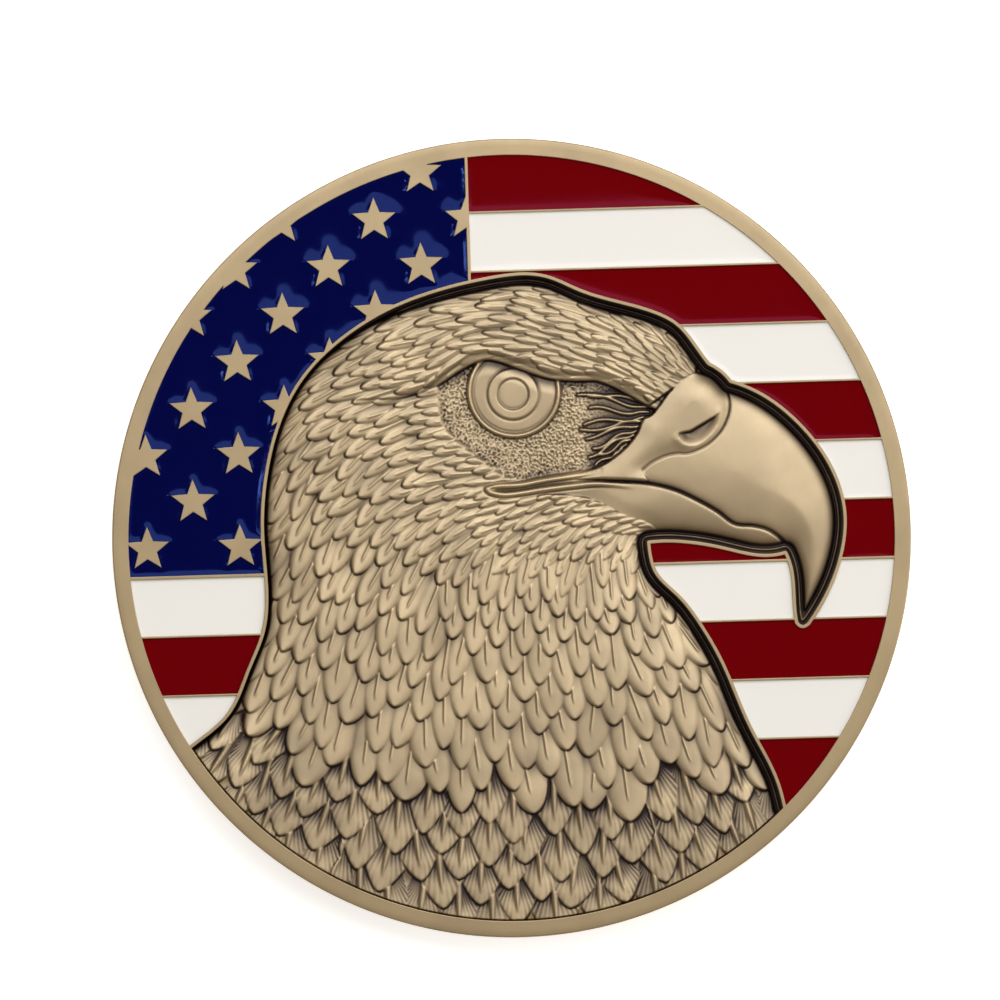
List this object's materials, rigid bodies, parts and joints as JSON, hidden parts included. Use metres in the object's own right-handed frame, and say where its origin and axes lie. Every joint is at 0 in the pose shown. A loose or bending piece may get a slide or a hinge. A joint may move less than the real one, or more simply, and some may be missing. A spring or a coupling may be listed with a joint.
{
  "type": "challenge coin",
  "caption": "Round struck brass challenge coin lying flat, with an eagle head in relief over a striped flag and star field in soft enamel.",
  "frame": {"origin": "middle of the reverse rim's flat, on which the coin rests", "axes": "+Z out of the obverse, the side with the eagle; +X along the flag's stripes, towards the beak; +Y towards the top of the picture"},
  "size_m": [0.0508, 0.0508, 0.004],
  "materials": {
    "antique_brass": "antiqued brass, satin, with dark patina in the recesses",
    "blue_enamel": "soft enamel, navy blue, glossy",
    "red_enamel": "soft enamel, deep red, glossy",
    "white_enamel": "soft enamel, white, glossy"
  },
  "bodies": {
    "root": {"blue_star_field": "blue_enamel", "coin_body": "antique_brass", "red_stripe_11a": "red_enamel", "red_stripe_1a": "red_enamel", "red_stripe_3a": "red_enamel", "red_stripe_5a": "red_enamel", "red_stripe_7a": "red_enamel", "red_stripe_7b": "red_enamel", "red_stripe_9a": "red_enamel", "red_stripe_9b": "red_enamel", "white_stripe_10a": "white_enamel", "white_stripe_10b": "white_enamel", "white_stripe_2a": "white_enamel", "white_stripe_4a": "white_enamel", "white_stripe_6a": "white_enamel", "white_stripe_8a": "white_enamel", "white_stripe_8b": "white_enamel", "white_stripe_8c": "white_enamel"}
  },
  "joints": []
}
